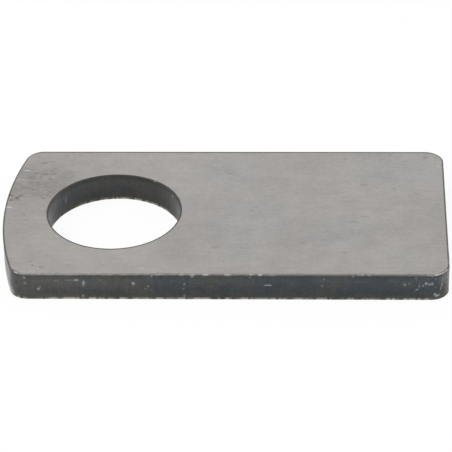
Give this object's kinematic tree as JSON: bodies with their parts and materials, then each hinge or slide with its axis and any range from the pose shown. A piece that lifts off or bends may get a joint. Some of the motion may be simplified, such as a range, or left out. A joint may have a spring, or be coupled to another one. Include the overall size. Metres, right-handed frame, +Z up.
{
  "type": "lock plate",
  "caption": "Flat steel lock plate with one large round pin hole near a gently rounded end, opposite a square end.",
  "frame": {"origin": "on the axis of the pin hole, at the underside of the plate", "axes": "+Z up along the pin hole, +X along the plate towards the square end, +Y across the plate"},
  "size_m": [0.12, 0.06, 0.008],
  "materials": {
    "plate_steel": "dull rolled mild steel with a fine lengthwise grain; dark oxide on the cut edges"
  },
  "bodies": {
    "root": {"lock_plate": "plate_steel"}
  },
  "joints": []
}
